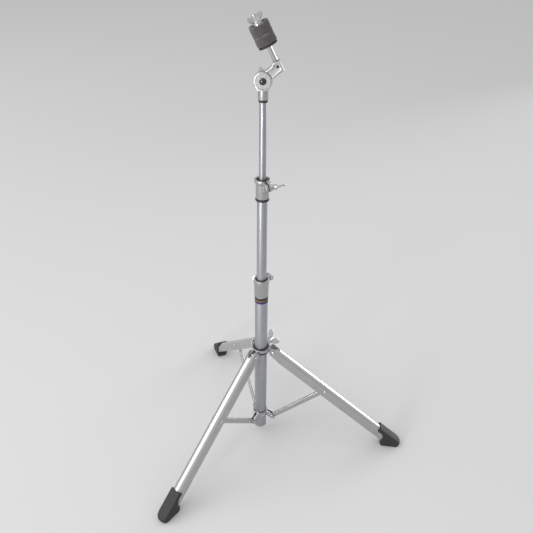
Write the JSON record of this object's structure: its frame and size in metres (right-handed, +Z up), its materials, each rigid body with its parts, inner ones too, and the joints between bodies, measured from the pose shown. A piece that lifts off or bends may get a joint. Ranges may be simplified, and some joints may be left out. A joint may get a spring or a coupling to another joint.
{
  "type": "cymbal stand",
  "caption": "Folding tripod stand with telescoping tubes, split height clamps and a toothed tilting head whose short rod holds a cymbal between felts.",
  "frame": {"origin": "on the floor, under the middle of the bounding box of the opened tripod", "axes": "+Z up along the tubes, +Y towards the third leg, +X square to both; the legs point at -150, -30 and 90 degrees from +X"},
  "size_m": [0.5544, 0.4806, 0.8949],
  "materials": {
    "tube": "bright chromed tube with fine drawing lines along it",
    "pressed_steel": "chromed pressed channel, brushed along its length",
    "cast_metal": "chromed casting with soft edges",
    "hardware": "chromed bolts, rivets and wing nuts",
    "nylon": "black nylon, satin",
    "rubber": "black rubber, matt",
    "felt": "dark grey pressed wool felt",
    "band": "dark band with a plain gold line and a violet lower edge, no lettering"
  },
  "bodies": {
    "base": {"lower_tube": "tube", "lower_collar": "cast_metal", "collar_rivet": "hardware", "collar_rivet_pin_1": "hardware", "collar_rivet_pin_2": "hardware", "collar_rivet_pin_3": "hardware", "label_band": "band", "lower_clamp": "cast_metal", "lower_clamp_bolt": "hardware"},
    "lower_bush_turn": {"lower_bush": "nylon"},
    "middle_stage": {"middle_tube": "tube", "middle_guide": "nylon", "upper_clamp": "cast_metal", "upper_clamp_ring": "nylon", "upper_clamp_rivet": "hardware", "upper_clamp_bolt": "hardware"},
    "upper_bush_turn": {"upper_bush": "nylon"},
    "top_stage": {"top_tube": "tube", "top_guide": "nylon", "tilter_base": "cast_metal", "tilter_ring": "nylon", "tilter_bolt": "hardware"},
    "arm": {"tilter_arm": "cast_metal", "rod_set_screw": "hardware", "cymbal_rod": "hardware", "seat_washer": "nylon", "cymbal_sleeve": "nylon", "lower_felt": "felt"},
    "felt_on_rod": {"upper_felt": "felt"},
    "top_nut": {"top_wing_nut": "hardware"},
    "tilter_nut": {"tilter_wing_nut": "hardware"},
    "lower_nut": {"lower_clamp_wing_nut": "hardware"},
    "upper_nut": {"upper_clamp_wing_nut": "hardware"},
    "crown": {"leg_crown": "cast_metal", "crown_bush": "nylon", "leg_pivot_1": "hardware", "leg_pivot_2": "hardware", "leg_pivot_3": "hardware"},
    "crown_bolt": {"crown_wing_bolt": "hardware"},
    "leg_1_set": {"leg_1": "pressed_steel", "foot_1": "rubber", "brace_rivet_1": "hardware"},
    "leg_2_set": {"leg_2": "pressed_steel", "foot_2": "rubber", "brace_rivet_2": "hardware"},
    "leg_3_set": {"leg_3": "pressed_steel", "foot_3": "rubber", "brace_rivet_3": "hardware"},
    "brace_1_arm": {"brace_1": "pressed_steel"},
    "brace_2_arm": {"brace_2": "pressed_steel"},
    "brace_3_arm": {"brace_3": "pressed_steel"}
  },
  "joints": [
    {"name": "tripod_fold", "type": "hinge", "parent": "base", "child": "brace_1_arm", "pos_m": [-0.02338, -0.0869, 0.0463], "axis": [-0.5, 0.866, 0], "range_deg": [-8, 46]},
    {"name": "leg_1_on_brace", "type": "hinge", "parent": "brace_1_arm", "child": "leg_1_set", "pos_m": [-0.12147, -0.14354, 0.14], "axis": [0.5, -0.866, 0], "range_deg": [-16, 92]},
    {"name": "crown_on_leg", "type": "hinge", "parent": "leg_1_set", "child": "crown", "pos_m": [-0.02338, -0.0869, 0.2337], "axis": [-0.5, 0.866, 0], "range_deg": [-8, 46]},
    {"name": "leg_2_pivot", "type": "hinge", "parent": "crown", "child": "leg_2_set", "pos_m": [0.02338, -0.0869, 0.2337], "axis": [0.5, 0.866, 0], "range_deg": [-8, 46]},
    {"name": "leg_3_pivot", "type": "hinge", "parent": "crown", "child": "leg_3_set", "pos_m": [0, -0.0464, 0.2337], "axis": [-1, 0, 0], "range_deg": [-8, 46]},
    {"name": "brace_2_on_leg", "type": "hinge", "parent": "leg_2_set", "child": "brace_2_arm", "pos_m": [0.12147, -0.14354, 0.14], "axis": [-0.5, -0.866, 0], "range_deg": [-16, 92]},
    {"name": "brace_3_on_leg", "type": "hinge", "parent": "leg_3_set", "child": "brace_3_arm", "pos_m": [0, 0.06686, 0.14], "axis": [1, 0, 0], "range_deg": [-16, 92]},
    {"name": "crown_bolt_turn", "type": "hinge", "parent": "crown", "child": "crown_bolt", "pos_m": [0.03104, -0.05548, 0.2393], "axis": [0.866, 0.5, 0], "continuous": true},
    {"name": "middle_stage_turn", "type": "hinge", "parent": "base", "child": "lower_bush_turn", "pos_m": [0, -0.0734, 0.4], "axis": [0, 0, 1], "continuous": true},
    {"name": "middle_stage_height", "type": "slide", "parent": "lower_bush_turn", "child": "middle_stage", "axis": [0, 0, 1], "range_m": [-0.16, 0.13]},
    {"name": "lower_nut_turn", "type": "hinge", "parent": "base", "child": "lower_nut", "pos_m": [0.01901, -0.05892, 0.4013], "axis": [-0.606, 0.7955, 0], "continuous": true},
    {"name": "top_stage_turn", "type": "hinge", "parent": "middle_stage", "child": "upper_bush_turn", "pos_m": [0, -0.0734, 0.6], "axis": [0, 0, 1], "continuous": true},
    {"name": "top_stage_height", "type": "slide", "parent": "upper_bush_turn", "child": "top_stage", "axis": [0, 0, 1], "range_m": [-0.13, 0.15]},
    {"name": "upper_nut_turn", "type": "hinge", "parent": "middle_stage", "child": "upper_nut", "pos_m": [0.00052, -0.0965, 0.6114], "axis": [0.9997, 0.0227, 0], "continuous": true},
    {"name": "tilt", "type": "hinge", "parent": "top_stage", "child": "arm", "pos_m": [0, -0.0734, 0.7917], "axis": [-0.4695, -0.8829, 0], "range_deg": [-50, 130]},
    {"name": "tilter_nut_turn", "type": "hinge", "parent": "top_stage", "child": "tilter_nut", "pos_m": [0, -0.0734, 0.7917], "axis": [0.4695, 0.8829, 0], "continuous": true},
    {"name": "felt_lift", "type": "slide", "parent": "arm", "child": "felt_on_rod", "axis": [-0.4036, 0.2146, 0.8894], "range_m": [0, 0.045]},
    {"name": "top_nut_turn", "type": "hinge", "parent": "felt_on_rod", "child": "top_nut", "pos_m": [0.02474, -0.08656, 0.8061], "axis": [-0.4036, 0.2146, 0.8894], "continuous": true}
  ],
  "couplings": [
    {"joint": "leg_1_on_brace", "follows": "tripod_fold", "ratio": 2},
    {"joint": "crown_on_leg", "follows": "tripod_fold", "ratio": 1},
    {"joint": "leg_2_pivot", "follows": "tripod_fold", "ratio": 1},
    {"joint": "leg_3_pivot", "follows": "tripod_fold", "ratio": 1},
    {"joint": "brace_2_on_leg", "follows": "tripod_fold", "ratio": 2},
    {"joint": "brace_3_on_leg", "follows": "tripod_fold", "ratio": 2}
  ]
}
